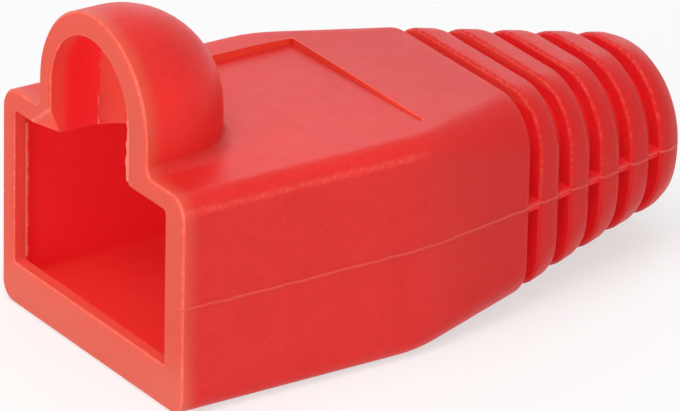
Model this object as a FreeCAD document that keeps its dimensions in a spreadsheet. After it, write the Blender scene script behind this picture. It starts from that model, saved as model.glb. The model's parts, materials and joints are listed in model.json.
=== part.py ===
"""Strain relief boot for a modular plug, moulded in one piece from soft plastic.

The boot lies along +X: the mouth that takes the plug is in the plane X = 0, and the ringed tail
that holds the cable points along +X. Z is up, Z = 0 is the flat underside, and Y = 0 is the plane
of symmetry. All sizes are in millimetres and are driven by the sheet called "sizes".
"""
import FreeCAD, Part
import math
import os
import Sketcher

os.makedirs("parts", exist_ok=True)
doc = FreeCAD.newDocument("strain_relief_boot")

# ---------------------------------------------------------------- driving dimensions

SIZES = [
    # body
    ("body_width", 14.0, "outside width at the mouth"),
    ("body_height", 9.67, "outside height of the body, hood left out"),
    ("body_top_corner", 0.95, "radius of the two upper long corners"),
    ("body_low_corner", 0.85, "radius of the two lower long corners"),
    ("shoulder_station", 11.8, "where the body starts to narrow"),
    ("shoulder_bend", 1.0, "half length of the soft bend at the shoulder"),
    ("neck_station", 17.81, "where the body ends and the first groove starts"),
    ("neck_side_draw", 1.15, "how far each side has closed in at the neck"),
    ("neck_bottom", 0.44, "height of the underside at the neck"),
    ("neck_top_draw", 0.27, "how far the top has come down at the neck"),
    ("neck_low_corner", 1.85, "radius of the two lower corners at the neck"),
    ("neck_top_corner", 2.2, "radius of the two upper corners at the neck"),
    ("neck_round", 0.2, "rounding of the edge where the body ends"),
    ("front_bevel", 0.12, "bevel of the outer edge of the front face"),
    # ringed tail
    ("ring_pitch", 1.833, "from one groove to the next"),
    ("groove_width", 0.58, "width of a groove between the flat sides of two rings"),
    ("groove_depth", 0.8, "depth of a groove below the crests"),
    ("ring_front_round", 0.25, "rounding of a ring's edge on the side of the mouth"),
    ("ring_rear_round", 0.36, "rounding of a ring's edge on the side of the tail's end"),
    ("end_ring_width", 1.63, "width of the last ring"),
    ("end_ring_round", 1.0, "rounding of the tail's end"),
    ("tail_diameter", 7.32, "outside diameter at the tail's end"),
    ("axis_drop", 0.175, "how far the cable's axis lies below half the body's height"),
    ("tail_bulge", 0.24, "factor that makes the tail's outline slightly convex"),
    ("web_thickness", 0.35, "thickness of the webs that cross the grooves at the parting plane"),
    # latch hood
    ("hood_radius", 4.14, "outside radius of the hood's arch and dome"),
    ("hood_wall", 1.1, "wall of the hood"),
    ("hood_rise", 1.37, "height of the centre of the hood's arch above the body's top"),
    ("hood_length", 1.45, "length of the arch in front of the dome"),
    ("hood_foot_round", 0.5, "fillet where the hood meets the body's top"),
    ("lead_in_run", 1.76, "width of the lead-in facet along the socket's ceiling"),
    ("lead_in_rise", 1.3, "height of the lead-in facet up the hood's leg"),
    ("lead_in_depth", 0.5, "depth of the lead-in facet at the leg's foot"),
    # plug socket
    ("side_wall", 0.95, "thickness of the side walls behind the lips"),
    ("socket_floor", 1.05, "thickness of the floor under the socket"),
    ("roof_wall", 0.92, "thickness of the roof over the socket"),
    ("socket_corner", 0.15, "radius of the socket's long corners"),
    ("core_shift", 0.25, "how far the socket's core sat to one side in the mould"),
    ("socket_depth", 11.8, "from the mouth to the end of the straight socket"),
    ("side_lip", 0.175, "how far each side lip stands in from its wall"),
    ("lip_height", 0.83, "height of the lower lip above the socket's floor"),
    ("lip_depth", 0.6, "length of the lips along the boot"),
    ("mouth_bevel", 0.1, "bevel of the inner edge of the front face"),
    ("funnel_end", 18.4, "where the conical lead-in has narrowed to the cable bore"),
    ("cable_bore", 5.1, "diameter of the cable bore"),
    # label recess on the top
    ("recess_start", 8.25, "from the mouth to the recess"),
    ("recess_length", 4.7, "length of the recess along the boot"),
    ("recess_margin", 2.025, "from the body's side to the recess"),
    ("recess_depth", 0.3, "depth of the recess at its deeper side"),
    ("recess_tilt", 1.0, "slope of the recess's floor across the boot, in degrees"),
    ("recess_corner", 0.2, "corner radius of the recess"),
]
RING_COUNT = 5
ROUND_STEPS = 3

sheet = doc.addObject("Spreadsheet::Sheet", "sizes")
for row, (alias, value, note) in enumerate(SIZES, start=1):
    sheet.set(f"A{row}", note)
    sheet.set(f"B{row}", str(value))
    sheet.setAlias(f"B{row}", alias)
doc.recompute()


def value_of(expression):
    """Number that an expression on the sheet's cells gives."""
    return float(sheet.evalExpression(expression))


# ---------------------------------------------------------------- helpers

body = doc.addObject("PartDesign::Body", "boot")
body.Label = "boot"


def origin_plane(role):
    """One of the body's own origin planes, such as YZ_Plane."""
    return next(item for item in body.Origin.OriginFeatures if item.Role == role)


def new_sketch(name, role, offset="0"):
    """Sketch on an origin plane, moved along the plane's normal by an expression."""
    sketch = body.newObject("Sketcher::SketchObject", name)
    sketch.AttachmentSupport = [(origin_plane(role), "")]
    sketch.MapMode = "FlatFace"
    sketch.setExpression("AttachmentOffset.Base.z", offset)
    return sketch


def line(x1, y1, x2, y2):
    """Straight sketch edge between two points."""
    return Part.LineSegment(FreeCAD.Vector(x1, y1, 0), FreeCAD.Vector(x2, y2, 0))


def arc(x, y, radius, start, end):
    """Sketch arc about a centre, between two angles in degrees."""
    circle = Part.Circle(FreeCAD.Vector(x, y, 0), FreeCAD.Vector(0, 0, 1), radius)
    return Part.ArcOfCircle(circle, math.radians(start), math.radians(end))


def constrain(sketch, name, expression, *definition):
    """Add one named dimension that follows an expression on the sheet."""
    kind, *geometry = definition
    index = sketch.addConstraint(Sketcher.Constraint(kind, *geometry, value_of(expression)))
    sketch.renameConstraint(index, name)
    sketch.setExpression(f"Constraints.{name}", expression)


def rounded_outline(name, station, half_width, bottom, top, low_corner, top_corner):
    """Closed outline across the boot: a rectangle with rounded corners, even about Y = 0."""
    sketch = new_sketch(name, "YZ_Plane", station)
    a, low, high = value_of(half_width), value_of(bottom), value_of(top)
    r_low, r_top = value_of(low_corner), value_of(top_corner)
    floor, low_right, right, top_right, roof, top_left, left, low_left = range(8)
    sketch.addGeometry([
        line(-a + r_low, low, a - r_low, low),
        arc(a - r_low, low + r_low, r_low, -90, 0),
        line(a, low + r_low, a, high - r_top),
        arc(a - r_top, high - r_top, r_top, 0, 90),
        line(a - r_top, high, -a + r_top, high),
        arc(-a + r_top, high - r_top, r_top, 90, 180),
        line(-a, high - r_top, -a, low + r_low),
        arc(-a + r_low, low + r_low, r_low, 180, 270),
    ], False)
    for index in range(8):
        sketch.addConstraint(Sketcher.Constraint("Tangent", index, 2, (index + 1) % 8, 1))
    sketch.addConstraint(Sketcher.Constraint("Symmetric", floor, 1, floor, 2, -2))
    sketch.addConstraint(Sketcher.Constraint("Horizontal", roof))
    sketch.addConstraint(Sketcher.Constraint("Vertical", left))
    sketch.addConstraint(Sketcher.Constraint("Vertical", right))
    sketch.addConstraint(Sketcher.Constraint("Equal", low_right, low_left))
    sketch.addConstraint(Sketcher.Constraint("Equal", top_right, top_left))
    constrain(sketch, "low_corner", low_corner, "Radius", low_right)
    constrain(sketch, "top_corner", top_corner, "Radius", top_right)
    constrain(sketch, "half_width", half_width, "DistanceX", -1, 1, right, 1)
    constrain(sketch, "bottom", bottom, "DistanceY", -1, 1, floor, 1)
    constrain(sketch, "top", top, "DistanceY", -1, 1, roof, 1)
    return sketch


def arch_outline(name, radius, foot):
    """Upright outline of the hood across the boot: a half circle on two straight legs."""
    sketch = new_sketch(name, "YZ_Plane")
    r, centre, low = value_of(radius), value_of(HOOD_CENTRE), value_of(foot)
    bend, left, sill, right = range(4)
    sketch.addGeometry([
        arc(0, centre, r, 0, 180),
        line(-r, centre, -r, low),
        line(-r, low, r, low),
        line(r, low, r, centre),
    ], False)
    sketch.addConstraint(Sketcher.Constraint("Tangent", bend, 2, left, 1))
    sketch.addConstraint(Sketcher.Constraint("Coincident", left, 2, sill, 1))
    sketch.addConstraint(Sketcher.Constraint("Coincident", sill, 2, right, 1))
    sketch.addConstraint(Sketcher.Constraint("Tangent", right, 2, bend, 1))
    sketch.addConstraint(Sketcher.Constraint("Horizontal", sill))
    sketch.addConstraint(Sketcher.Constraint("Vertical", left))
    sketch.addConstraint(Sketcher.Constraint("Vertical", right))
    sketch.addConstraint(Sketcher.Constraint("PointOnObject", bend, 3, -2))
    constrain(sketch, "radius", radius, "Radius", bend)
    constrain(sketch, "centre", HOOD_CENTRE, "DistanceY", -1, 1, bend, 3)
    constrain(sketch, "foot", foot, "DistanceY", -1, 1, sill, 1)
    return sketch


def dome_profile(name, radius, foot, shift="0"):
    """Profile that turns into the hood's dome: a quarter circle on a straight wall."""
    sketch = new_sketch(name, "XZ_Plane", shift)
    sketch.setExpression("AttachmentOffset.Base.x", "sizes.hood_length")
    r, centre, low = value_of(radius), value_of(HOOD_CENTRE), value_of(foot)
    bend, spine, sill, wall = range(4)
    sketch.addGeometry([
        arc(0, centre, r, 0, 90),
        line(0, centre + r, 0, low),
        line(0, low, r, low),
        line(r, low, r, centre),
    ], False)
    sketch.addConstraint(Sketcher.Constraint("Coincident", bend, 2, spine, 1))
    sketch.addConstraint(Sketcher.Constraint("Coincident", spine, 2, sill, 1))
    sketch.addConstraint(Sketcher.Constraint("Coincident", sill, 2, wall, 1))
    sketch.addConstraint(Sketcher.Constraint("Tangent", wall, 2, bend, 1))
    sketch.addConstraint(Sketcher.Constraint("Horizontal", sill))
    sketch.addConstraint(Sketcher.Constraint("Vertical", wall))
    sketch.addConstraint(Sketcher.Constraint("Vertical", spine))
    sketch.addConstraint(Sketcher.Constraint("PointOnObject", spine, 2, -2))
    sketch.addConstraint(Sketcher.Constraint("PointOnObject", bend, 3, -2))
    constrain(sketch, "radius", radius, "Radius", bend)
    constrain(sketch, "centre", HOOD_CENTRE, "DistanceY", -1, 1, bend, 3)
    constrain(sketch, "foot", foot, "DistanceY", -1, 1, sill, 1)
    return sketch


def pad(name, sketch, length, midplane=False):
    """Pad a sketch along its normal, or evenly to both sides of it."""
    feature = body.newObject("PartDesign::Pad", name)
    feature.Profile = sketch
    feature.Midplane = midplane
    feature.setExpression("Length", length)


def pocket(name, sketch, length, reverse):
    """Cut a sketch against its normal, or along it when reversed."""
    feature = body.newObject("PartDesign::Pocket", name)
    feature.Profile = sketch
    feature.Type = "Length"
    feature.Reversed = reverse
    feature.setExpression("Length", length)


def turn(name, kind, sketch, axis="V_Axis", angle=180):
    """Turn a profile about one of its own axes, evenly to both sides."""
    feature = body.newObject(f"PartDesign::{kind}", name)
    feature.Profile = sketch
    feature.ReferenceAxis = (sketch, [axis])
    feature.Midplane = True
    feature.Angle = angle


def loft(name, kind, sketches, ruled=True):
    """Additive or subtractive loft through cross sections."""
    feature = body.newObject(f"PartDesign::{kind}", name)
    feature.Profile = sketches[0]
    feature.Sections = sketches[1:]
    feature.Ruled = ruled


def dress_edges(name, kind, measure, expression, wanted):
    """Fillet or chamfer every edge of the body so far for which wanted(edge) is true."""
    doc.recompute()
    base = body.Tip
    edges = [f"Edge{number}" for number, edge in enumerate(base.Shape.Edges, start=1)
             if wanted(edge)]
    feature = body.newObject(f"PartDesign::{kind}", name)
    feature.Base = (base, edges)
    feature.setExpression(measure, expression)
    doc.recompute()


TOUCH = 0.01

# ---------------------------------------------------------------- sizes that follow from others

BODY_HALF = "(sizes.body_width / 2)"
NECK_HALF = f"({BODY_HALF} - sizes.neck_side_draw)"
NECK_TOP = "(sizes.body_height - sizes.neck_top_draw)"
PARTING_HEIGHT = "(sizes.body_height / 2)"
AXIS_HEIGHT = f"({PARTING_HEIGHT} - sizes.axis_drop)"
HOOD_CENTRE = "(sizes.body_height + sizes.hood_rise)"
SOCKET_HALF = f"({BODY_HALF} - sizes.side_wall)"
SOCKET_CEILING = "(sizes.body_height - sizes.roof_wall)"
MOUTH_HALF = f"({SOCKET_HALF} - sizes.side_lip)"
MOUTH_SILL = "(sizes.socket_floor + sizes.lip_height)"
RECESS_HALF = f"({BODY_HALF} - sizes.recess_margin)"


# ---------------------------------------------------------------- laws of the outer form

def between(start, end, share):
    """Expression for the value a share of the way from start to end."""
    return f"(({start}) + (({end}) - ({start})) * ({share}))"


def body_outline(name, station, share, inset="0"):
    """Outline of the narrowing body, a share of the way from the shoulder to the neck."""
    return rounded_outline(
        name, station,
        between(BODY_HALF, NECK_HALF, share) + f" - ({inset})",
        between("0", "sizes.neck_bottom", share) + f" + ({inset})",
        between("sizes.body_height", NECK_TOP, share) + f" - ({inset})",
        between("sizes.body_low_corner", "sizes.neck_low_corner", share) + f" - ({inset})",
        between("sizes.body_top_corner", "sizes.neck_top_corner", share) + f" - ({inset})")


def rounding_step(radius, step):
    """Where a rounded edge is after some of its steps.

    Returns two expressions: how far it has run along the boot from the rounding's start, and how
    far it has moved inwards there.
    """
    angle = f"({90 * step / ROUND_STEPS} * pi / 180)"
    return f"({radius}) * sin({angle} * 1 rad)", f"({radius}) * (1 - cos({angle} * 1 rad))"


TAIL_LENGTH = f"({RING_COUNT - 1} * sizes.ring_pitch + sizes.groove_width + sizes.end_ring_width)"
TAIL_END = f"(sizes.neck_station + {TAIL_LENGTH})"
TAIL_RADIUS = "(sizes.tail_diameter / 2)"
END_CORNER = f"({TAIL_RADIUS} * 0.98)"


def tail_outline(name, station, inset="0"):
    """Outline of the tail at a station, inset from the crests of the rings.

    The sides close in on a slightly convex line while the corners grow, fast at first, until at
    the tail's end the outline is as good as round.
    """
    share = f"((({station}) - sizes.neck_station) / {TAIL_LENGTH})"
    bulge = f"(sizes.tail_bulge * {share} * (1 - {share}))"
    half_width = between(NECK_HALF, TAIL_RADIUS, share)
    bottom = between("sizes.neck_bottom", f"{AXIS_HEIGHT} - {TAIL_RADIUS}", share)
    top = between(NECK_TOP, f"{AXIS_HEIGHT} + {TAIL_RADIUS}", share)

    def corner(start):
        """Corner radius that grows from its value at the neck to the end corner."""
        return f"({END_CORNER} - ({END_CORNER} - {start}) * (1 - {share}) ^ 2 - ({inset}))"

    return rounded_outline(
        name, station,
        f"{half_width} + {bulge} - ({inset})",
        f"{bottom} - {bulge} + ({inset})",
        f"{top} + {bulge} - ({inset})",
        corner("sizes.neck_low_corner"),
        corner("sizes.neck_top_corner"))


# ---------------------------------------------------------------- body

BEND_START = "sizes.shoulder_station - sizes.shoulder_bend"
BEND_END = "sizes.shoulder_station + sizes.shoulder_bend"
NARROWING = "(sizes.neck_station - sizes.shoulder_station)"
BEND_SHARE = f"(sizes.shoulder_bend / {NARROWING})"
BEND_STEPS = 4

mouth_outline = body_outline("mouth_outline", "0", "0")
pad("body_block", mouth_outline, BEND_START)

shoulder_outlines = []
for step in range(BEND_STEPS + 1):
    way = f"({step} / {BEND_STEPS})"
    shoulder_outlines.append(body_outline(
        f"shoulder_{step}", between(BEND_START, BEND_END, way), f"{BEND_SHARE} * {way} ^ 2"))
loft("shoulder", "AdditiveLoft", shoulder_outlines)

neck_outlines = [shoulder_outlines[-1]]
for step in range(ROUND_STEPS + 1):
    along, inset = rounding_step("sizes.neck_round", step)
    station = f"sizes.neck_station - sizes.neck_round + {along}"
    share = f"((({station}) - sizes.shoulder_station) / {NARROWING})"
    neck_outlines.append(body_outline(f"neck_{step}", station, share, inset))
loft("neck", "AdditiveLoft", neck_outlines)

# ---------------------------------------------------------------- ringed tail

core_start = tail_outline("core_start", "sizes.neck_station - sizes.neck_round - 0.3",
                          "sizes.groove_depth")
core_end = tail_outline("core_end", f"{TAIL_END} - sizes.end_ring_width / 2",
                        "sizes.groove_depth")
loft("tail_core", "AdditiveLoft", [core_start, core_end])

for ring in range(RING_COUNT):
    is_last = ring == RING_COUNT - 1
    front = f"(sizes.neck_station + {ring} * sizes.ring_pitch + sizes.groove_width)"
    rear = TAIL_END if is_last else f"(sizes.neck_station + {ring + 1} * sizes.ring_pitch)"
    front_round = "sizes.ring_front_round"
    rear_round = "sizes.end_ring_round" if is_last else "sizes.ring_rear_round"
    outlines = []
    for step in reversed(range(ROUND_STEPS + 1)):
        along, inset = rounding_step(front_round, step)
        station = f"{front} + {front_round} - {along}"
        outlines.append(tail_outline(f"ring_{ring + 1}_front_{step}", station, inset))
    for step in range(ROUND_STEPS + 1):
        along, inset = rounding_step(rear_round, step)
        station = f"{rear} - {rear_round} + {along}"
        outlines.append(tail_outline(f"ring_{ring + 1}_rear_{step}", station, inset))
    loft(f"ring_{ring + 1}", "AdditiveLoft", outlines)

web_plan = new_sketch("web_plan", "XY_Plane", PARTING_HEIGHT)
web_root = value_of(NECK_HALF)
web_tip = value_of(TAIL_RADIUS)
web_start = value_of("sizes.neck_station - sizes.neck_round")
web_end = value_of(f"{TAIL_END} - sizes.end_ring_width / 2")
web_plan.addGeometry([
    line(web_start, -web_root, web_end, -web_tip),
    line(web_end, -web_tip, web_end, web_tip),
    line(web_end, web_tip, web_start, web_root),
    line(web_start, web_root, web_start, -web_root),
], False)
for side in range(4):
    web_plan.addConstraint(Sketcher.Constraint("Coincident", side, 2, (side + 1) % 4, 1))
web_plan.addConstraint(Sketcher.Constraint("Symmetric", 1, 1, 1, 2, -1))
web_plan.addConstraint(Sketcher.Constraint("Symmetric", 3, 1, 3, 2, -1))
constrain(web_plan, "start", "sizes.neck_station - sizes.neck_round",
          "DistanceX", -1, 1, 0, 1)
constrain(web_plan, "end", f"{TAIL_END} - sizes.end_ring_width / 2", "DistanceX", -1, 1, 0, 2)
constrain(web_plan, "root", NECK_HALF, "DistanceY", -1, 1, 2, 2)
constrain(web_plan, "tip", TAIL_RADIUS, "DistanceY", -1, 1, 2, 1)
pad("webs", web_plan, "sizes.web_thickness", midplane=True)

# ---------------------------------------------------------------- latch hood

hood_arch = arch_outline("hood_arch", "sizes.hood_radius", SOCKET_CEILING)
pad("hood_front", hood_arch, "sizes.hood_length")
turn("hood_dome", "Revolution",
     dome_profile("hood_dome_profile", "sizes.hood_radius", SOCKET_CEILING))


def at_hood_foot(edge):
    """True on the line where the hood's wall meets the body's flat top."""
    box = edge.BoundBox
    top = value_of("sizes.body_height")
    flat = abs(box.ZMin - top) < TOUCH and abs(box.ZMax - top) < TOUCH
    reach = value_of("sizes.hood_radius") + TOUCH
    near = box.YMin > -reach and box.YMax < reach
    return flat and near and box.XMax > TOUCH and box.XMax < value_of("2 * sizes.hood_radius")


dress_edges("hood_foot", "Fillet", "Radius", "sizes.hood_foot_round", at_hood_foot)


def on_front_rim(edge):
    """True on the edge of the front face."""
    box = edge.BoundBox
    return abs(box.XMin) < TOUCH and abs(box.XMax) < TOUCH


dress_edges("front_edge", "Chamfer", "Size", "sizes.front_bevel", on_front_rim)

# ---------------------------------------------------------------- plug socket and cable bore

mouth = rounded_outline("mouth", "0", MOUTH_HALF, MOUTH_SILL, SOCKET_CEILING,
                        "sizes.socket_corner", "sizes.socket_corner")
mouth.setExpression("AttachmentOffset.Base.x", "sizes.core_shift")
pocket("mouth_opening", mouth, "sizes.lip_depth + 0.1", reverse=True)
socket = rounded_outline("socket", "sizes.lip_depth", SOCKET_HALF, "sizes.socket_floor",
                         SOCKET_CEILING, "sizes.socket_corner", "sizes.socket_corner")
socket.setExpression("AttachmentOffset.Base.x", "sizes.core_shift")
pocket("plug_socket", socket, "sizes.socket_depth - sizes.lip_depth", reverse=True)

BORE_RADIUS = "(sizes.cable_bore / 2)"
FUNNEL_RADIUS = f"({AXIS_HEIGHT} - sizes.socket_floor)"
funnel = new_sketch("funnel_profile", "XZ_Plane")
funnel.setExpression("AttachmentOffset.Base.y", AXIS_HEIGHT)
funnel_x = value_of("sizes.socket_depth - sizes.lip_depth")
funnel_far = value_of("sizes.funnel_end")
funnel.addGeometry([
    line(funnel_x, 0, funnel_far, 0),
    line(funnel_far, 0, funnel_far, value_of(BORE_RADIUS)),
    line(funnel_far, value_of(BORE_RADIUS), value_of("sizes.socket_depth"), value_of(FUNNEL_RADIUS)),
    line(value_of("sizes.socket_depth"), value_of(FUNNEL_RADIUS), funnel_x, value_of(FUNNEL_RADIUS)),
    line(funnel_x, value_of(FUNNEL_RADIUS), funnel_x, 0),
], False)
for side in range(5):
    funnel.addConstraint(Sketcher.Constraint("Coincident", side, 2, (side + 1) % 5, 1))
funnel.addConstraint(Sketcher.Constraint("PointOnObject", 0, 1, -1))
funnel.addConstraint(Sketcher.Constraint("Horizontal", 0))
funnel.addConstraint(Sketcher.Constraint("Vertical", 1))
funnel.addConstraint(Sketcher.Constraint("Horizontal", 3))
funnel.addConstraint(Sketcher.Constraint("Vertical", 4))
constrain(funnel, "near", "sizes.socket_depth - sizes.lip_depth", "DistanceX", -1, 1, 0, 1)
constrain(funnel, "far", "sizes.funnel_end", "DistanceX", -1, 1, 0, 2)
constrain(funnel, "bore_radius", BORE_RADIUS, "DistanceY", -1, 1, 1, 2)
constrain(funnel, "funnel_radius", FUNNEL_RADIUS, "DistanceY", -1, 1, 2, 2)
constrain(funnel, "mouth", "sizes.socket_depth", "DistanceX", -1, 1, 2, 2)
turn("funnel", "Groove", funnel, "H_Axis", 360)

bore_circle = new_sketch("bore_circle", "YZ_Plane", "sizes.funnel_end - 0.5")
bore_circle.addGeometry(Part.Circle(FreeCAD.Vector(0, value_of(AXIS_HEIGHT), 0),
                                    FreeCAD.Vector(0, 0, 1), value_of(BORE_RADIUS)), False)
bore_circle.addConstraint(Sketcher.Constraint("PointOnObject", 0, 3, -2))
constrain(bore_circle, "radius", BORE_RADIUS, "Radius", 0)
constrain(bore_circle, "axis_height", AXIS_HEIGHT, "DistanceY", -1, 1, 0, 3)
pocket("bore", bore_circle, TAIL_LENGTH, reverse=True)

# ---------------------------------------------------------------- inside of the hood

HOOD_BORE = "(sizes.hood_radius - sizes.hood_wall)"
latch_arch = arch_outline("latch_arch", HOOD_BORE, PARTING_HEIGHT)
latch_arch.setExpression("AttachmentOffset.Base.x", "sizes.core_shift")
pocket("latch_slot", latch_arch, "sizes.hood_length", reverse=True)
turn("latch_dome", "Groove",
     dome_profile("latch_dome_profile", HOOD_BORE, PARTING_HEIGHT, "-sizes.core_shift"))


def on_inner_rim(edge):
    """True on the inner edge of the front face, round the mouth and the hood."""
    box = edge.BoundBox
    in_plane = abs(box.XMin) < TOUCH and abs(box.XMax) < TOUCH
    middle = edge.valueAt((edge.FirstParameter + edge.LastParameter) / 2)
    aside = middle.y - value_of("sizes.core_shift")
    rise = middle.z - value_of(HOOD_CENTRE)
    in_hood = math.hypot(aside, max(rise, 0)) < value_of(HOOD_BORE) + TOUCH
    in_mouth = (abs(aside) < value_of(MOUTH_HALF) + TOUCH
                and value_of(MOUTH_SILL) - TOUCH < middle.z < value_of(SOCKET_CEILING) + TOUCH)
    return in_plane and (in_hood and middle.z > value_of(PARTING_HEIGHT) or in_mouth)


dress_edges("mouth_edge", "Chamfer", "Size", "sizes.mouth_bevel", on_inner_rim)

LEAD_IN_MARGIN = "(sizes.hood_wall / 4)"


def lead_in_outline(name, share):
    """Triangle across the foot of the hood's left leg, a share of the lead-in facet's depth in.

    Its long side lies in the facet; the two others run through the open slot and socket.
    """
    sketch = new_sketch(name, "YZ_Plane", f"sizes.lead_in_depth * ({share})")
    left = f"(sizes.core_shift + {HOOD_BORE} - {LEAD_IN_MARGIN})"
    low = f"({SOCKET_CEILING} - {LEAD_IN_MARGIN})"
    run = (f"(sizes.lead_in_run * (1 - ({share}) + {LEAD_IN_MARGIN} / sizes.lead_in_rise)"
           f" + {LEAD_IN_MARGIN})")
    rise = (f"(sizes.lead_in_rise * (1 - ({share}) + {LEAD_IN_MARGIN} / sizes.lead_in_run)"
            f" + {LEAD_IN_MARGIN})")
    y, z, a, b = value_of(left), value_of(low), value_of(run), value_of(rise)
    sketch.addGeometry([
        line(y, z, y + a, z),
        line(y + a, z, y, z + b),
        line(y, z + b, y, z),
    ], False)
    for side in range(3):
        sketch.addConstraint(Sketcher.Constraint("Coincident", side, 2, (side + 1) % 3, 1))
    sketch.addConstraint(Sketcher.Constraint("Horizontal", 0))
    sketch.addConstraint(Sketcher.Constraint("Vertical", 2))
    constrain(sketch, "left", left, "DistanceX", -1, 1, 0, 1)
    constrain(sketch, "low", low, "DistanceY", -1, 1, 0, 1)
    constrain(sketch, "run", run, "DistanceX", 0, 1, 0, 2)
    constrain(sketch, "rise", rise, "DistanceY", 2, 2, 2, 1)
    return sketch


loft("lead_in", "SubtractiveLoft",
     [lead_in_outline("lead_in_front", "0"), lead_in_outline("lead_in_rear", "1.1")])

# ---------------------------------------------------------------- label recess

recess = new_sketch("recess", "XY_Plane")
recess.AttachmentOffset = FreeCAD.Placement(
    FreeCAD.Vector(0, 0, 0), FreeCAD.Rotation(FreeCAD.Vector(1, 0, 0), 1))
recess.setExpression("AttachmentOffset.Base.z",
                     f"sizes.body_height + {RECESS_HALF} * tan(sizes.recess_tilt * 1 deg)")
recess.setExpression("AttachmentOffset.Rotation.Angle", "-sizes.recess_tilt * 1 deg")
recess_x = value_of("sizes.recess_start")
recess_half = value_of(RECESS_HALF)
recess_far = value_of("sizes.recess_start + sizes.recess_length")
recess_r = value_of("sizes.recess_corner")
recess.addGeometry([
    line(recess_x + recess_r, -recess_half, recess_far - recess_r, -recess_half),
    arc(recess_far - recess_r, -recess_half + recess_r, recess_r, -90, 0),
    line(recess_far, -recess_half + recess_r, recess_far, recess_half - recess_r),
    arc(recess_far - recess_r, recess_half - recess_r, recess_r, 0, 90),
    line(recess_far - recess_r, recess_half, recess_x + recess_r, recess_half),
    arc(recess_x + recess_r, recess_half - recess_r, recess_r, 90, 180),
    line(recess_x, recess_half - recess_r, recess_x, -recess_half + recess_r),
    arc(recess_x + recess_r, -recess_half + recess_r, recess_r, 180, 270),
], False)
for side in range(8):
    recess.addConstraint(Sketcher.Constraint("Tangent", side, 2, (side + 1) % 8, 1))
for corner in (3, 5, 7):
    recess.addConstraint(Sketcher.Constraint("Equal", 1, corner))
recess.addConstraint(Sketcher.Constraint("Symmetric", 2, 1, 2, 2, -1))
recess.addConstraint(Sketcher.Constraint("Horizontal", 0))
recess.addConstraint(Sketcher.Constraint("Horizontal", 4))
recess.addConstraint(Sketcher.Constraint("Vertical", 6))
constrain(recess, "corner", "sizes.recess_corner", "Radius", 1)
constrain(recess, "start", "sizes.recess_start", "DistanceX", -1, 1, 6, 1)
constrain(recess, "far", "sizes.recess_start + sizes.recess_length", "DistanceX", -1, 1, 2, 1)
constrain(recess, "half_width", RECESS_HALF, "DistanceY", -1, 1, 4, 1)
pocket("label_recess", recess, "sizes.recess_depth", reverse=False)
doc.recompute()

# ---------------------------------------------------------------- check and write

for item in doc.Objects:
    if "Invalid" in item.State or "Error" in item.State:
        raise RuntimeError(f"{item.Name} could not be built: {item.getStatusString()}")
shape = body.Shape
if shape.isNull() or not shape.isValid() or len(shape.Solids) != 1:
    raise RuntimeError("the boot is not one valid solid")
shape.exportStep(f"parts/{body.Label}.step")
print("boot", round(shape.Volume, 2), shape.BoundBox, len(shape.Faces))
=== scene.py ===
"""Looks of the strain relief boot: one soft red vinyl moulding on a plain studio floor."""
from __future__ import annotations

import json
import logging
import math
from dataclasses import dataclass
from enum import Enum
from typing import Sequence, Union

import bpy
from mathutils import Matrix, Vector

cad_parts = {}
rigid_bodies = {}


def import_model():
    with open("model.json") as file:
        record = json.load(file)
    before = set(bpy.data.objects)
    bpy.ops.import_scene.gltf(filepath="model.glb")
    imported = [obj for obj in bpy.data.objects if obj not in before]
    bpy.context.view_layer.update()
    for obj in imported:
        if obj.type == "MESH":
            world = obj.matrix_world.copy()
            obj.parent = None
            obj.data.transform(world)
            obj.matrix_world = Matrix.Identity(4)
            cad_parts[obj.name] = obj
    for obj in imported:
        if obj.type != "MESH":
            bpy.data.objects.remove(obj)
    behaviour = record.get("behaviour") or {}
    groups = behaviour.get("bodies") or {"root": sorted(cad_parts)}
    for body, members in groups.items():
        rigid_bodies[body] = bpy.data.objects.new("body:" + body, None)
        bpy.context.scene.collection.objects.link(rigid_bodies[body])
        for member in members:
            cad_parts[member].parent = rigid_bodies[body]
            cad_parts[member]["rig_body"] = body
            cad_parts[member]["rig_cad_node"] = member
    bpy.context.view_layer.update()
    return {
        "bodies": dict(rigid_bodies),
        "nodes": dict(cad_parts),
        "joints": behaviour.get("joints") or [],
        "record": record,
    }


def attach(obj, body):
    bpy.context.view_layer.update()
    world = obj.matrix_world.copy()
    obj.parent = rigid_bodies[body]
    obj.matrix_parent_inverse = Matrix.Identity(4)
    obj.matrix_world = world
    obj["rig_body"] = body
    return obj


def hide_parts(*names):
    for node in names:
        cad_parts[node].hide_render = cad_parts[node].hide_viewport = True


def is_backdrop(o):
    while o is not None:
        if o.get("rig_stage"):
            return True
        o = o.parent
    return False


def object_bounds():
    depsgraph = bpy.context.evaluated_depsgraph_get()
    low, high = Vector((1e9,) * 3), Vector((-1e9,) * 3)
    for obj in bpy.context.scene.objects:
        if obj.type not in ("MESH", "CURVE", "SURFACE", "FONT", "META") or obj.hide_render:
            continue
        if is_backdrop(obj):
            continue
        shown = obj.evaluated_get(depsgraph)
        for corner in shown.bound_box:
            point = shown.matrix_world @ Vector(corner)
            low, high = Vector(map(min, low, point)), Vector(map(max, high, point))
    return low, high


logging.basicConfig(level=logging.INFO, format="%(message)s")
log = logging.getLogger("boot")

MM = 0.001
Colour = tuple[float, float, float]
Point = tuple[float, float, float]
WHITE = (1.0, 1.0, 1.0, 1.0)


# ---------------------------------------------------------------- shader graphs


class Output(Enum):
    """What a node tree ends in."""

    MATERIAL = "ShaderNodeOutputMaterial"
    WORLD = "ShaderNodeOutputWorld"


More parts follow.
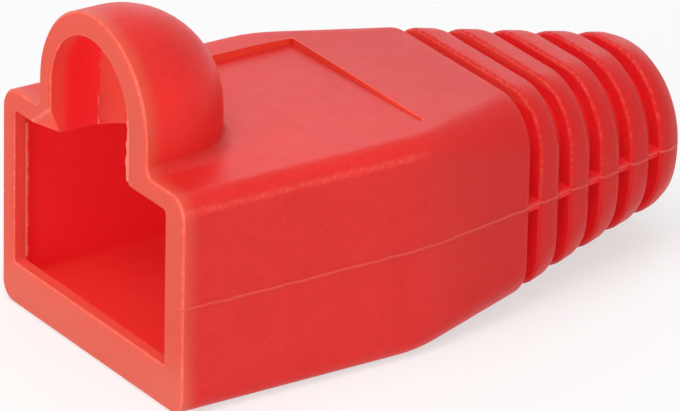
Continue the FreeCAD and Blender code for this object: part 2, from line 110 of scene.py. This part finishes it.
class Field:
    """A value in a shader graph that plain arithmetic can be written with."""

    def __init__(self, graph: "Graph", socket: bpy.types.NodeSocket) -> None:
        """Wrap one output socket of a graph."""
        self.graph = graph
        self.socket = socket

    def _op(self, operation: str, *operands: "Number") -> "Field":
        """Result of one maths operation on this value and others."""
        return self.graph.maths(operation, self, *operands)

    def __add__(self, other: "Number") -> "Field":
        """Sum."""
        return self._op("ADD", other)

    def __radd__(self, other: "Number") -> "Field":
        """Sum with a plain number first."""
        return self._op("ADD", other)

    def __sub__(self, other: "Number") -> "Field":
        """Difference."""
        return self._op("SUBTRACT", other)

    def __rsub__(self, other: "Number") -> "Field":
        """A plain number less this value."""
        return self.graph.maths("SUBTRACT", other, self)

    def __mul__(self, other: "Number") -> "Field":
        """Product."""
        return self._op("MULTIPLY", other)

    def __rmul__(self, other: "Number") -> "Field":
        """Product with a plain number first."""
        return self._op("MULTIPLY", other)

    def __truediv__(self, other: "Number") -> "Field":
        """Quotient."""
        return self._op("DIVIDE", other)

    def __rtruediv__(self, other: "Number") -> "Field":
        """A plain number over this value."""
        return self.graph.maths("DIVIDE", other, self)

    def __pow__(self, other: "Number") -> "Field":
        """Power."""
        return self._op("POWER", other)

    def __abs__(self) -> "Field":
        """Size without its sign."""
        return self._op("ABSOLUTE")

    def above(self, other: "Number") -> "Field":
        """The larger of two values."""
        return self._op("MAXIMUM", other)

    def fraction(self) -> "Field":
        """What is left above the whole number below."""
        return self._op("FRACT")

    def step(self, start: float, end: float) -> "Field":
        """Smooth step from 0 at start to 1 at end, which may be the lower of the two."""
        node = self.graph.node(
            "ShaderNodeMapRange", {"interpolation_type": "SMOOTHSTEP"},
            {"Value": self, "From Min": start, "From Max": end},
        )
        return Field(self.graph, node.outputs["Result"])

    def peak(self, middle: float, reach: float) -> "Field":
        """Smooth ridge that is 1 at the middle and 0 beyond the reach."""
        return abs(self - middle).step(reach, 0.0)


Number = Union[Field, float, int]
Owner = Union[bpy.types.Material, bpy.types.World]


class Graph:
    """Node tree of one material or world, with short ways to add nodes to it."""

    def __init__(self, owner: Owner) -> None:
        """Empty the owner's node tree and start again.

        Args:
            owner: Material or world that the tree belongs to.
        """
        self.owner = owner
        owner.use_nodes = True
        self.tree = owner.node_tree
        self.tree.nodes.clear()
        self.place = self.node("ShaderNodeTexCoord", {}, {}).outputs["Object"]

    @classmethod
    def of_material(cls, name: str) -> "Graph":
        """Graph of a new material."""
        return cls(bpy.data.materials.new(name))

    def node(self, kind: str, settings: dict, inputs: dict) -> bpy.types.Node:
        """Add a node.

        Args:
            kind: Type name of the node.
            settings: Attributes set first, because some of them change the node's sockets.
            inputs: Socket name or number, to a field, a socket or a constant value.

        Returns:
            The new node.
        """
        made = self.tree.nodes.new(kind)
        for key, value in settings.items():
            setattr(made, key, value)
        for key, value in inputs.items():
            socket = made.inputs[key]
            if isinstance(value, Field):
                self.tree.links.new(value.socket, socket)
            elif isinstance(value, bpy.types.NodeSocket):
                self.tree.links.new(value, socket)
            else:
                socket.default_value = value
        return made

    def maths(self, operation: str, *operands: Number) -> Field:
        """Result of one maths node."""
        made = self.node("ShaderNodeMath", {"operation": operation}, dict(enumerate(operands)))
        return Field(self, made.outputs[0])

    def axes(self) -> tuple[Field, Field, Field]:
        """Coordinates of the shaded point, in millimetres."""
        split = self.node("ShaderNodeSeparateXYZ", {}, {0: self.place})
        x, y, z = (Field(self, split.outputs[axis]) * (1 / MM) for axis in range(3))
        return x, y, z

    def noise(self, size_mm: float, detail: float = 2.0, stretch: Sequence[float] = (1, 1, 1),
              distortion: float = 0.0) -> Field:
        """Soft noise from 0 to 1.

        Args:
            size_mm: Size of its blotches, in millimetres.
            detail: Number of finer layers.
            stretch: How much longer the blotches are along each axis.
            distortion: How much the blotches are warped.

        Returns:
            The noise as a field.
        """
        mapped = self.node("ShaderNodeMapping", {}, {
            "Vector": self.place, "Scale": tuple(1 / (size_mm * MM * s) for s in stretch)})
        made = self.node("ShaderNodeTexNoise", {}, {
            "Vector": mapped.outputs[0], "Scale": 1.0, "Detail": detail, "Roughness": 0.55,
            "Distortion": distortion})
        return Field(self, made.outputs[0])

    def mix(self, share: Number, first: object, second: object) -> bpy.types.NodeSocket:
        """Colour a share of the way from the first to the second."""
        made = self.node("ShaderNodeMix", {"data_type": "RGBA"},
                         {0: share, 6: _colour(first), 7: _colour(second)})
        return made.outputs[2]

    def bump(self, height: Field, depth_mm: float, under: object = None) -> bpy.types.NodeSocket:
        """Normal bent by a height.

        Args:
            height: Height from 0 to 1.
            depth_mm: Height of 1 in millimetres.
            under: Normal that the bump is added to, if there is one.

        Returns:
            The bent normal.
        """
        inputs = {"Height": height, "Distance": depth_mm * MM, "Strength": 1.0}
        if under is not None:
            inputs["Normal"] = under
        return self.node("ShaderNodeBump", {}, inputs).outputs["Normal"]

    def seen_plainly(self) -> Field:
        """Tell rays that show a surface from rays that light one.

        Returns:
            1 for rays from the camera, off gloss or through glass, and 0 for all others.
        """
        path = self.node("ShaderNodeLightPath", {}, {})
        camera, gloss, glass = (Field(self, path.outputs[f"Is {kind} Ray"])
                                for kind in ("Camera", "Glossy", "Transmission"))
        return camera.above(gloss).above(glass)

    def finish(self, shader: bpy.types.Node, output: Output = Output.MATERIAL) -> Owner:
        """Send a shader to the output and return the owner of the tree."""
        self.node(output.value, {}, {"Surface": shader.outputs[0]})
        return self.owner


def _colour(value: object) -> object:
    """A plain colour with its alpha added; anything else as it is."""
    return (*value, 1.0) if isinstance(value, tuple) else value


def dimmed(colour: Colour, share: float) -> Colour:
    """A colour at a share of its strength."""
    return tuple(part * share for part in colour)


# ---------------------------------------------------------------- finishes


@dataclass(frozen=True)
class Places:
    """Where the boot's features lie in the frame, in millimetres."""

    shoulder: float = 11.8
    side_top: float = 9.06
    parting_height: float = 4.87
    core_shift: float = 0.25
    hood_length: float = 1.45
    hood_axis_height: float = 11.04
    tail_axis_height: float = 4.66
    recess_end: float = 12.95
    recess_half: float = 4.975
    first_ring: float = 18.39
    ring_pitch: float = 1.833


@dataclass(frozen=True)
class SoftVinyl:
    """Satin red vinyl as it comes from the mould."""

    colour: Colour = (0.76, 0.030, 0.024)
    deep: Colour = (0.66, 0.018, 0.016)
    tail: Colour = (0.595, 0.008, 0.007)
    # Front face colours are painted light: the lit front face is drawn lighter and more orange, and
    # lighter still low down.
    front: Colour = (0.68, 0.080, 0.046)
    front_low_painted_light: Colour = (0.69, 0.110, 0.070)
    # Inside colours are painted light: brighter reds on the socket's walls and a lighter floor
    # stand in for light bouncing inside.
    cavity_painted_bounce: Colour = (0.90, 0.024, 0.030)
    cavity_floor_painted_light: Colour = (0.95, 0.046, 0.036)
    cavity_painted_bounce_glow: Colour = (0.055, 0.002, 0.003)
    painted_lit_inside: Colour = (0.78, 0.105, 0.068)
    hood: Colour = (0.88, 0.022, 0.016)
    recess_wall_painted_glow: Colour = (0.92, 0.115, 0.055)
    edge_painted_highlight: Colour = (0.90, 0.21, 0.145)
    parting_ridge_painted_highlight: Colour = (0.96, 0.125, 0.09)
    roughness: float = 0.42
    gloss: float = 0.2
    glow: float = 0.6
    glow_reach_mm: float = 1.2
    glow_spread: Colour = (1.0, 0.12, 0.10)
    swell_mm: float = 0.012
    pore_mm: float = 0.010
    ridge_mm: float = 0.09
    at: Places = Places()

    def build(self) -> bpy.types.Material:
        """Make the material."""
        g = Graph.of_material("soft_red_vinyl")
        x, y, z = g.axes()
        grain = g.noise(0.13, 2.0)
        sheen = g.noise(1.1, 2.0, distortion=0.4)
        ridge = self._parting_ridge(g, x, y, z)
        hollow = self._hollow(x, y, z)
        painted_highlight_share = self._painted_edge_highlights(g, x, y, z)
        # The parting ridge is a real bump; its lighter colour is a painted highlight.
        skin = g.mix(ridge * 0.75, self._skin(g, x, y, z, hollow, grain), self.parting_ridge_painted_highlight)
        # Painted highlights: lighter, more orange colour on the front's bevels, the ring crests and
        # the sides' top edges.
        base = g.mix(painted_highlight_share, skin, self.edge_painted_highlight)
        roughness = (self.roughness + (sheen - 0.5) * 0.16 + (grain - 0.5) * 0.2
                     + hollow * 0.25 - painted_highlight_share * 0.14)
        swell = g.bump(g.noise(2.4, 1.0), self.swell_mm)
        pores = g.bump(grain, self.pore_mm, swell)
        normal = g.bump(ridge, self.ridge_mm, pores)
        shader = g.node("ShaderNodeBsdfPrincipled", {}, {
            "Base Color": base, "Roughness": roughness, "Normal": normal,
            # Painted bounce light: the inner walls and the grooves glow faintly.
            "Emission Color": g.mix(hollow, (0.0, 0.0, 0.0), self.cavity_painted_bounce_glow),
            "Emission Strength": 1.0, "Subsurface Weight": self.glow,
            "Subsurface Radius": self.glow_spread,
            "Subsurface Scale": self.glow_reach_mm * MM, "IOR": 1.5,
            "Specular IOR Level": self.gloss})
        return g.finish(shader)

    def _skin(self, g: Graph, x: Field, y: Field, z: Field, hollow: Field,
              grain: Field) -> bpy.types.NodeSocket:
        """Colour of the moulding without its lines and edges.

        Args:
            g: Graph of the material.
            x: Distance from the mouth, in millimetres.
            y: Distance across the boot, in millimetres.
            z: Height, in millimetres.
            hollow: 1 on the inner walls and 0 outside.
            grain: The surface's fine noise.

        Returns:
            The colour.
        """
        outside = self._outside(g, x, y, z, grain)
        near_mouth, within_lip, low_face = x.step(0.9, 0.1), x.step(1.0, 0.5), z.step(3.2, 0.8)
        socket_floor = z.step(1.45, 1.1)
        ragged = (g.noise(0.6, 2.0) - 0.5) * 0.5
        # Painted light: the hood's back wall inside and the lip's inner faces are drawn lighter, as
        # lit from the front.
        lit_dome = (x + ragged).step(2.28, 2.4) * z.step(8.7, 8.8) * hollow
        # Painted bounce light on the inner walls, and a painted lighter socket floor.
        walls = g.mix(hollow, outside, g.mix(socket_floor, self.cavity_painted_bounce, self.cavity_floor_painted_light))
        walls = g.mix(lit_dome * 0.85, walls, self.painted_lit_inside)
        walls = g.mix(within_lip * hollow * 0.6, walls, self.painted_lit_inside)
        # Painted light on the front face, weaker on the inner walls near the mouth.
        painted_lit_face = g.mix(low_face, self.front, self.front_low_painted_light)
        return g.mix(near_mouth * (1 - hollow * 0.4), walls, painted_lit_face)

    def _outside(self, g: Graph, x: Field, y: Field, z: Field,
                 grain: Field) -> bpy.types.NodeSocket:
        """Mottled colour of the outer faces, redder along the tail and on the hood, with a painted
        glow on the label recess's walls.

        Args:
            g: Graph of the material.
            x: Distance from the mouth, in millimetres.
            y: Distance across the boot, in millimetres.
            z: Height, in millimetres.
            grain: The surface's fine noise.

        Returns:
            The colour.
        """
        blotch = (g.noise(3.2, 3.0, distortion=0.6) * 0.6 + g.noise(9.0, 1.0) * 0.4).step(0.35, 0.7)
        speck = (grain * 0.6 + g.noise(0.3, 1.0) * 0.4).step(0.30, 0.68)
        towards_tail = x.step(9.0, 19.5)
        hood_sides = z.step(9.8, 10.6) * z.step(14.0, 12.5)
        outside = g.mix(blotch * 0.5 + speck * 0.5, self.deep, self.colour)
        outside = g.mix(towards_tail * 0.8, outside, self.tail)
        outside = g.mix(hood_sides * 0.5, outside, self.hood)
        # Painted glow on the recess's rear and far side walls.
        return g.mix(self._recess_walls(x, y, z) * 0.65, outside, self.recess_wall_painted_glow)

    def _recess_walls(self, x: Field, y: Field, z: Field) -> Field:
        """Find the low upright walls of the label recess, where a painted glow stands in for light
        soaking through.

        Args:
            x: Distance from the mouth, in millimetres.
            y: Distance across the boot, in millimetres.
            z: Height, in millimetres.

        Returns:
            1 on the rear wall and the far side wall, and 0 elsewhere.
        """
        rear = x.peak(self.at.recess_end, 0.07)
        side = y.peak(self.at.recess_half, 0.07) * x.step(8.1, 8.2)
        within_ends = x.step(13.05, 13.0) * abs(y).step(5.08, 5.03)
        below_top = z.step(9.1, 9.2) * z.step(9.665, 9.62)
        return rear.above(side) * (within_ends * below_top)

    def _parting_ridge(self, g: Graph, x: Field, y: Field, z: Field) -> Field:
        """Height of the wavering ridge where the two halves of the mould met.

        Args:
            g: Graph of the material.
            x: Distance from the mouth, in millimetres.
            y: Distance across the boot, in millimetres.
            z: Height, in millimetres.

        Returns:
            1 on the ridge's crest and 0 away from it and on the inner walls.
        """
        steadier = 1 - x.step(16.0, 19.0) * 0.6
        waver = (g.noise(0.9, 3.0, (1, 60, 60)) - 0.5) * 0.18 * steadier
        ridge = (z - waver).peak(self.at.parting_height, 0.1)
        taper = (x - self.at.shoulder).above(0.0) * 0.24
        outer = (abs(y) + taper).step(6.5, 6.7)
        return ridge * outer

    def _painted_edge_highlights(self, g: Graph, x: Field, y: Field, z: Field) -> Field:
        """Find the edges that get a painted highlight.

        Args:
            g: Graph of the material.
            x: Distance from the mouth, in millimetres.
            y: Distance across the boot, in millimetres.
            z: Height, in millimetres.

        Returns:
            Share of the painted highlight colour on the front's bevels, the rings' leading edges
            and the top edges of the body's sides.
        """
        broken = g.noise(0.22, 3.0, distortion=0.5).step(0.44, 0.66)
        rim = x.peak(0.075, 0.075) * (broken * 0.6 + 0.4)
        along = ((x - self.at.first_ring) / self.at.ring_pitch).fraction() * self.at.ring_pitch
        on_rings, high = x.step(18.3, 18.4), z.step(4.0, 6.5)
        crest = along.peak(0.08, 0.09) * on_rings * broken
        on_sides, ahead_of_shoulder = abs(y).step(6.75, 6.9), x.step(13.0, 11.0)
        top_edge = z.peak(self.at.side_top, 0.24) * on_sides * ahead_of_shoulder
        return (rim * 0.8).above(crest * high * 0.32).above(top_edge * (broken * 0.2 + 0.1))

    def _hollow(self, x: Field, y: Field, z: Field) -> Field:
        """Find the inner walls, and in part the grooves between the rings, which take painted
        bounce light and glow.

        Args:
            x: Distance from the mouth, in millimetres.
            y: Distance across the boot, in millimetres.
            z: Height, in millimetres.

        Returns:
            1 on the walls of the socket, the hood and the cable's way, 0.7 in the grooves, and 0
            on the outside.
        """
        aside = y - self.at.core_shift
        between_walls, above_floor = abs(aside).step(6.4, 6.25), z.step(0.4, 0.7)
        under_roof, ahead_of_funnel = z.step(9.15, 9.0), x.step(12.0, 11.7)
        socket = between_walls * above_floor * under_roof * ahead_of_funnel
        behind_bore = (x - self.at.hood_length).above(0.0)
        over_axis = (z - self.at.hood_axis_height).above(0.0)
        from_core = behind_bore ** 2 + aside ** 2 + over_axis ** 2
        arch = from_core.step(3.5 ** 2, 3.3 ** 2) * z.step(8.9, 9.1)
        from_axis = y ** 2 + (z - self.at.tail_axis_height) ** 2
        cable_way = from_axis.step(3.9 ** 2, 3.75 ** 2) * x.step(17.4, 17.2)
        behind_face = x.step(0.02, 0.3)
        inside = socket.above(arch).above(cable_way) * behind_face
        along = ((x - self.at.first_ring - 0.05) / self.at.ring_pitch).fraction()
        # The grooves take part of the painted bounce light and glow.
        groove = along.step(0.63, 0.68) * x.step(17.7, 17.8) * 0.7
        return inside.above(groove)


@dataclass(frozen=True)
class ThinFlash:
    """The same vinyl squeezed out so thin that light comes through it; that light is painted into
    its lighter orange colour.
    """

    colour: Colour = (0.88, 0.15, 0.11)
    dark_share: float = 0.88
    roughness: float = 0.4
    pore_mm: float = 0.01

    def build(self) -> bpy.types.Material:
        """Make the material."""
        g = Graph.of_material("thin_red_flash")
        grain = g.noise(0.2, 2.0)
        tone = g.mix(grain, dimmed(self.colour, self.dark_share), self.colour)
        shader = g.node("ShaderNodeBsdfPrincipled", {}, {
            "Base Color": tone, "Roughness": self.roughness + (grain - 0.5) * 0.2,
            "IOR": 1.5, "Normal": g.bump(grain, self.pore_mm)})
        return g.finish(shader)


@dataclass(frozen=True)
class StudioWhite:
    """Matt white paper that keeps a soft shadow."""

    colour: Colour = (0.92, 0.92, 0.92)
    dark_share: float = 0.995
    roughness: float = 0.95
    seen_white: float = 0.62

    def build(self) -> bpy.types.Material:
        """Make the material."""
        g = Graph.of_material("studio_white")
        tone = g.mix(g.noise(40.0, 1.0), self.colour, dimmed(self.colour, self.dark_share))
        paper = g.node("ShaderNodeBsdfPrincipled", {}, {
            "Base Color": tone, "Roughness": self.roughness})
        white = g.node("ShaderNodeEmission", {}, {"Color": WHITE, "Strength": 1.0})
        return g.finish(g.node("ShaderNodeMixShader", {}, {
            0: g.seen_plainly() * self.seen_white, 1: paper.outputs[0], 2: white.outputs[0]}))


# ---------------------------------------------------------------- the boot


@dataclass
class Boot:
    """The moulded boot."""

    node: str = "boot"
    weld_m: float = 1e-7
    flat_deg: float = 0.05
    quad_face_deg: float = 8.0
    quad_shape_deg: float = 60.0
    smooth_deg: float = 32.0

    def build(self, frame: dict) -> bpy.types.Object:
        """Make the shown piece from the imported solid.


        Returns:
            The shown piece.
        """
        piece = frame["nodes"][self.node].copy()
        piece.data = piece.data.copy()
        piece.name = "boot_moulding"
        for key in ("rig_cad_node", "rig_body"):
            if key in piece:
                del piece[key]
        piece.parent = None
        bpy.context.scene.collection.objects.link(piece)
        select_only(piece)
        bpy.ops.mesh.customdata_custom_splitnormals_clear()
        bpy.ops.object.mode_set(mode="EDIT")
        bpy.ops.mesh.select_all(action="SELECT")
        bpy.ops.mesh.remove_doubles(threshold=self.weld_m)
        bpy.ops.mesh.dissolve_limited(angle_limit=math.radians(self.flat_deg))
        bpy.ops.mesh.select_all(action="SELECT")
        bpy.ops.mesh.tris_convert_to_quads(
            face_threshold=math.radians(self.quad_face_deg),
            shape_threshold=math.radians(self.quad_shape_deg))
        bpy.ops.object.mode_set(mode="OBJECT")
        bpy.ops.object.shade_smooth_by_angle(angle=math.radians(self.smooth_deg))
        weighted = piece.modifiers.new("flat_faces_stay_flat", "WEIGHTED_NORMAL")
        weighted.mode = "FACE_AREA_WITH_ANGLE"
        weighted.keep_sharp = True
        bpy.ops.object.modifier_apply(modifier=weighted.name)
        return piece

    def dress(self, piece: bpy.types.Object, finish: SoftVinyl) -> None:
        """Give the piece its finish and its place in the frame.

        Args:
            piece: The shown piece.
            finish: Its finish.
        """
        piece.data.materials.clear()
        piece.data.materials.append(finish.build())
        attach(piece, "root")
        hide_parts(self.node)


@dataclass(frozen=True)
class FlashStrip:
    """A ragged upright strip of flash, which stands out from a wall across the boot.

    All sizes are in millimetres. The strip is at a station along the boot, and reaches from its
    root in the wall to its tip, between two heights. It wavers across the boot.
    """

    name: str
    station: float
    root: float
    tip: float
    low: float
    high: float
    thickness: float
    waver: float
    wave_length: float
    smooth_deg: float = 50.0

    def build(self, finish: bpy.types.Material) -> bpy.types.Object:
        """Make the strip, give it its finish and place it in the frame.

        Args:
            finish: Material of the strip.

        Returns:
            The strip.
        """
        bpy.ops.object.select_all(action="DESELECT")
        bpy.ops.mesh.primitive_grid_add(
            x_subdivisions=self._cuts(), y_subdivisions=2, size=1.0)
        strip = bpy.context.object
        strip.name = self.name
        tall, wide = (self.high - self.low) * MM, (self.tip - self.root) * MM
        middle = (self.station, (self.root + self.tip) / 2, (self.low + self.high) / 2)
        bpy.ops.object.mode_set(mode="EDIT")
        bpy.ops.mesh.select_all(action="SELECT")
        bpy.ops.transform.resize(value=(tall, abs(wide), 1.0))
        bpy.ops.transform.rotate(value=math.pi / 2, orient_axis="Y", center_override=(0, 0, 0))
        bpy.ops.transform.translate(value=tuple(value * MM for value in middle))
        bpy.ops.object.mode_set(mode="OBJECT")
        self._ruffle(strip)
        self._thicken(strip)
        bpy.ops.object.shade_smooth_by_angle(angle=math.radians(self.smooth_deg))
        strip.data.materials.append(finish)
        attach(strip, "root")
        return strip

    def _cuts(self) -> int:
        """Number of pieces along the strip, about eight to a wave."""
        return max(12, round((self.high - self.low) / self.wave_length * 8))

    def _ruffle(self, strip: bpy.types.Object) -> None:
        """Push the strip in and out across the boot in uneven waves.

        Args:
            strip: The strip, which is the active object.
        """
        waves = bpy.data.textures.new(self.name + "_waves", "CLOUDS")
        waves.noise_scale = self.wave_length * MM
        waves.noise_depth = 2
        push = strip.modifiers.new("waver", "DISPLACE")
        push.texture = waves
        push.texture_coords = "GLOBAL"
        push.direction = "Y"
        push.strength = 2 * self.waver * MM
        push.mid_level = 0.5
        bpy.ops.object.modifier_apply(modifier=push.name)

    def _thicken(self, strip: bpy.types.Object) -> None:
        """Give the strip its thickness, half on each side of its plane.

        Args:
            strip: The strip, which is the active object.
        """
        body = strip.modifiers.new("thickness", "SOLIDIFY")
        body.thickness = self.thickness * MM
        body.offset = 0.0
        bpy.ops.object.modifier_apply(modifier=body.name)


def select_only(thing: bpy.types.Object) -> None:
    """Make one object the only selected and the active one.

    Args:
        thing: The object.
    """
    bpy.ops.object.select_all(action="DESELECT")
    thing.select_set(True)
    bpy.context.view_layer.objects.active = thing


# ---------------------------------------------------------------- the studio


@dataclass(frozen=True)
class SoftLight:
    """One large soft light."""

    name: str
    place: Point
    size: float
    power: float

    def build(self, target: Vector) -> None:
        """Add the light.

        Args:
            target: Point that the light is turned to.
        """
        data = bpy.data.lights.new(self.name, "AREA")
        data.shape = "SQUARE"
        data.size = self.size
        data.energy = self.power
        light = bpy.data.objects.new(self.name, data)
        bpy.context.scene.collection.objects.link(light)
        light.location = self.place
        towards = target - Vector(self.place)
        light.rotation_euler = towards.to_track_quat("-Z", "Y").to_euler()


@dataclass(frozen=True)
class Studio:
    """Floor, lights, surroundings and camera."""

    camera_place: Point = (-0.157478, -0.253915, 0.141888)
    camera_right: Point = (0.8362, -0.5482, 0.0191)
    camera_ahead: Point = (0.5064, 0.7581, -0.411)
    lens_mm: float = 425.14
    sensor_mm: float = 36.0
    shift: tuple[float, float] = (0.0026, -0.0068)
    clip: tuple[float, float] = (0.01, 10.0)
    floor_size: float = 3.0
    floor_height: float = -0.00001
    surround: float = 0.38
    lights: tuple[SoftLight, ...] = (
        SoftLight("key", (-0.10, -0.06, 0.42), 0.34, 1.15),
        SoftLight("front", (-0.40, -0.12, 0.10), 0.20, 0.72),
        SoftLight("side", (0.05, -0.50, 0.14), 0.30, 0.42),
        SoftLight("back", (0.24, 0.36, 0.22), 0.32, 0.24),
    )

    def build(self) -> None:
        """Set up the studio round the object."""
        self._floor()
        self._world()
        low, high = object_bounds()
        for light in self.lights:
            light.build((low + high) / 2)
        self._camera()
        scene = bpy.context.scene
        scene.view_settings.view_transform = "Standard"

    def _floor(self) -> None:
        """Lay a plain floor just under the object."""
        bpy.ops.mesh.primitive_plane_add(size=self.floor_size, location=(0, 0, self.floor_height))
        floor = bpy.context.object
        floor.name = "floor"
        floor.data.materials.append(StudioWhite().build())
        floor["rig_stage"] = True

    def _world(self) -> None:
        """Pale surroundings, seen as white."""
        world = bpy.data.worlds.new("studio")
        bpy.context.scene.world = world
        g = Graph(world)
        lit = g.node("ShaderNodeBackground", {}, {"Color": WHITE, "Strength": self.surround})
        seen = g.node("ShaderNodeBackground", {}, {"Color": WHITE, "Strength": 1.0})
        both = g.node("ShaderNodeMixShader", {}, {
            0: g.seen_plainly(), 1: lit.outputs[0], 2: seen.outputs[0]})
        g.finish(both, Output.WORLD)

    def _camera(self) -> None:
        """Place the camera."""
        data = bpy.data.cameras.new("camera")
        camera = bpy.data.objects.new("camera", data)
        bpy.context.scene.collection.objects.link(camera)
        right = Vector(self.camera_right).normalized()
        back = -Vector(self.camera_ahead).normalized()
        up = back.cross(right).normalized()
        right = up.cross(back)
        turn = Matrix((right, up, back)).transposed()
        camera.matrix_world = Matrix.Translation(self.camera_place) @ turn.to_4x4()
        data.sensor_width = self.sensor_mm
        data.lens = self.lens_mm
        data.shift_x, data.shift_y = self.shift
        data.clip_start, data.clip_end = self.clip
        bpy.context.scene.camera = camera


# ---------------------------------------------------------------- putting it together

FLASH = (
    FlashStrip("flash_hood_leg", station=0.09, root=-3.05, tip=-2.66, low=8.95, high=12.2,
               thickness=0.14, waver=0.30, wave_length=0.75),
    FlashStrip("flash_side_lip", station=0.64, root=6.32, tip=6.03, low=2.0, high=8.1,
               thickness=0.08, waver=0.10, wave_length=0.30),
    FlashStrip("flash_hood_core", station=2.32, root=3.32, tip=3.12, low=8.8, high=10.1,
               thickness=0.10, waver=0.18, wave_length=0.45),
)


def clear_scene() -> None:
    """Remove what a new file starts with."""
    for thing in list(bpy.data.objects):
        bpy.data.objects.remove(thing, do_unlink=True)


def main() -> None:
    """Build the object and its studio in order."""
    clear_scene()
    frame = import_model()
    boot = Boot()
    piece = boot.build(frame)
    boot.dress(piece, SoftVinyl())
    log.info("boot: %d faces", len(piece.data.polygons))
    thin = ThinFlash().build()
    for strip in FLASH:
        strip.build(thin)
    log.info("flash: %d strips", len(FLASH))
    Studio().build()
    log.info("sizes written")


if __name__ == "__main__":
    main()
